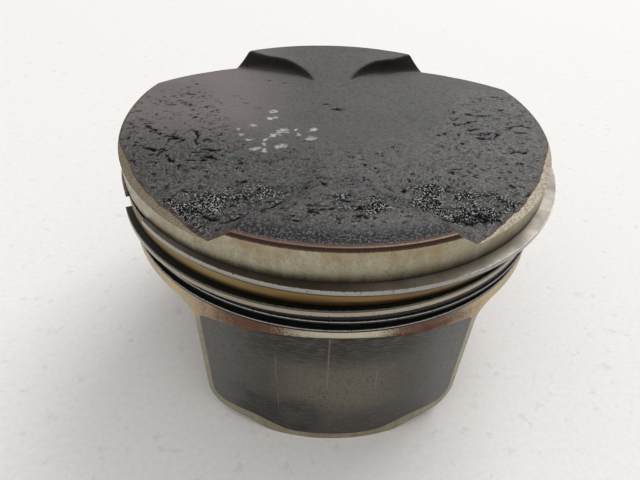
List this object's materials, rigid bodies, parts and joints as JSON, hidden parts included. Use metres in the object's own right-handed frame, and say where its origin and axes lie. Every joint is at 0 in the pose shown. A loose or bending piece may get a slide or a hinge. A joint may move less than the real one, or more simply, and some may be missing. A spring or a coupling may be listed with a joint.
{
  "type": "engine piston",
  "caption": "Slipper-skirt four-stroke piston with sooted four-pocket crown, compression and oil rings, floating hollow pin and wire clips.",
  "frame": {"origin": "middle of the gudgeon pin's axis", "axes": "+X along the pin, +Z towards the crown, -Y on the side with the smaller valve pockets"},
  "size_m": [0.0687, 0.0682, 0.0395],
  "materials": {
    "aluminium": "machined, varnish-stained aluminium",
    "chromed_ring": "ground hard chrome",
    "phosphated_ring": "dark phosphate, worn bright at the edge",
    "rail_steel": "ground steel",
    "expander_steel": "oil-blackened steel",
    "pin_steel": "ground and lapped steel",
    "clip_steel": "blued spring wire",
    "carbon": "dry carbon crust",
    "skirt_coat": "printed graphite coat, worn"
  },
  "bodies": {
    "piston": {"piston_body": "aluminium", "circlip_left": "clip_steel", "circlip_right": "clip_steel"},
    "top_ring": {"top_compression_ring": "chromed_ring"},
    "second_ring": {"second_compression_ring": "phosphated_ring"},
    "upper_rail": {"oil_rail_upper": "rail_steel"},
    "expander": {"oil_expander": "expander_steel"},
    "lower_rail": {"oil_rail_lower": "rail_steel"},
    "pin": {"gudgeon_pin": "pin_steel"}
  },
  "joints": [
    {"name": "top_ring_turn", "type": "hinge", "parent": "piston", "child": "top_ring", "pos_m": [0, 0, 0.0207], "axis": [0, 0, 1], "continuous": true},
    {"name": "second_ring_turn", "type": "hinge", "parent": "piston", "child": "second_ring", "pos_m": [0, 0, 0.0167], "axis": [0, 0, 1], "continuous": true},
    {"name": "upper_rail_turn", "type": "hinge", "parent": "piston", "child": "upper_rail", "pos_m": [0, 0, 0.0144], "axis": [0, 0, 1], "continuous": true},
    {"name": "expander_turn", "type": "hinge", "parent": "piston", "child": "expander", "pos_m": [0, 0, 0.0136], "axis": [0, 0, 1], "continuous": true},
    {"name": "lower_rail_turn", "type": "hinge", "parent": "piston", "child": "lower_rail", "pos_m": [0, 0, 0.0127], "axis": [0, 0, 1], "continuous": true},
    {"name": "pin_turn", "type": "hinge", "parent": "piston", "child": "pin", "pos_m": [0, 0, 0], "axis": [1, 0, 0], "continuous": true}
  ]
}
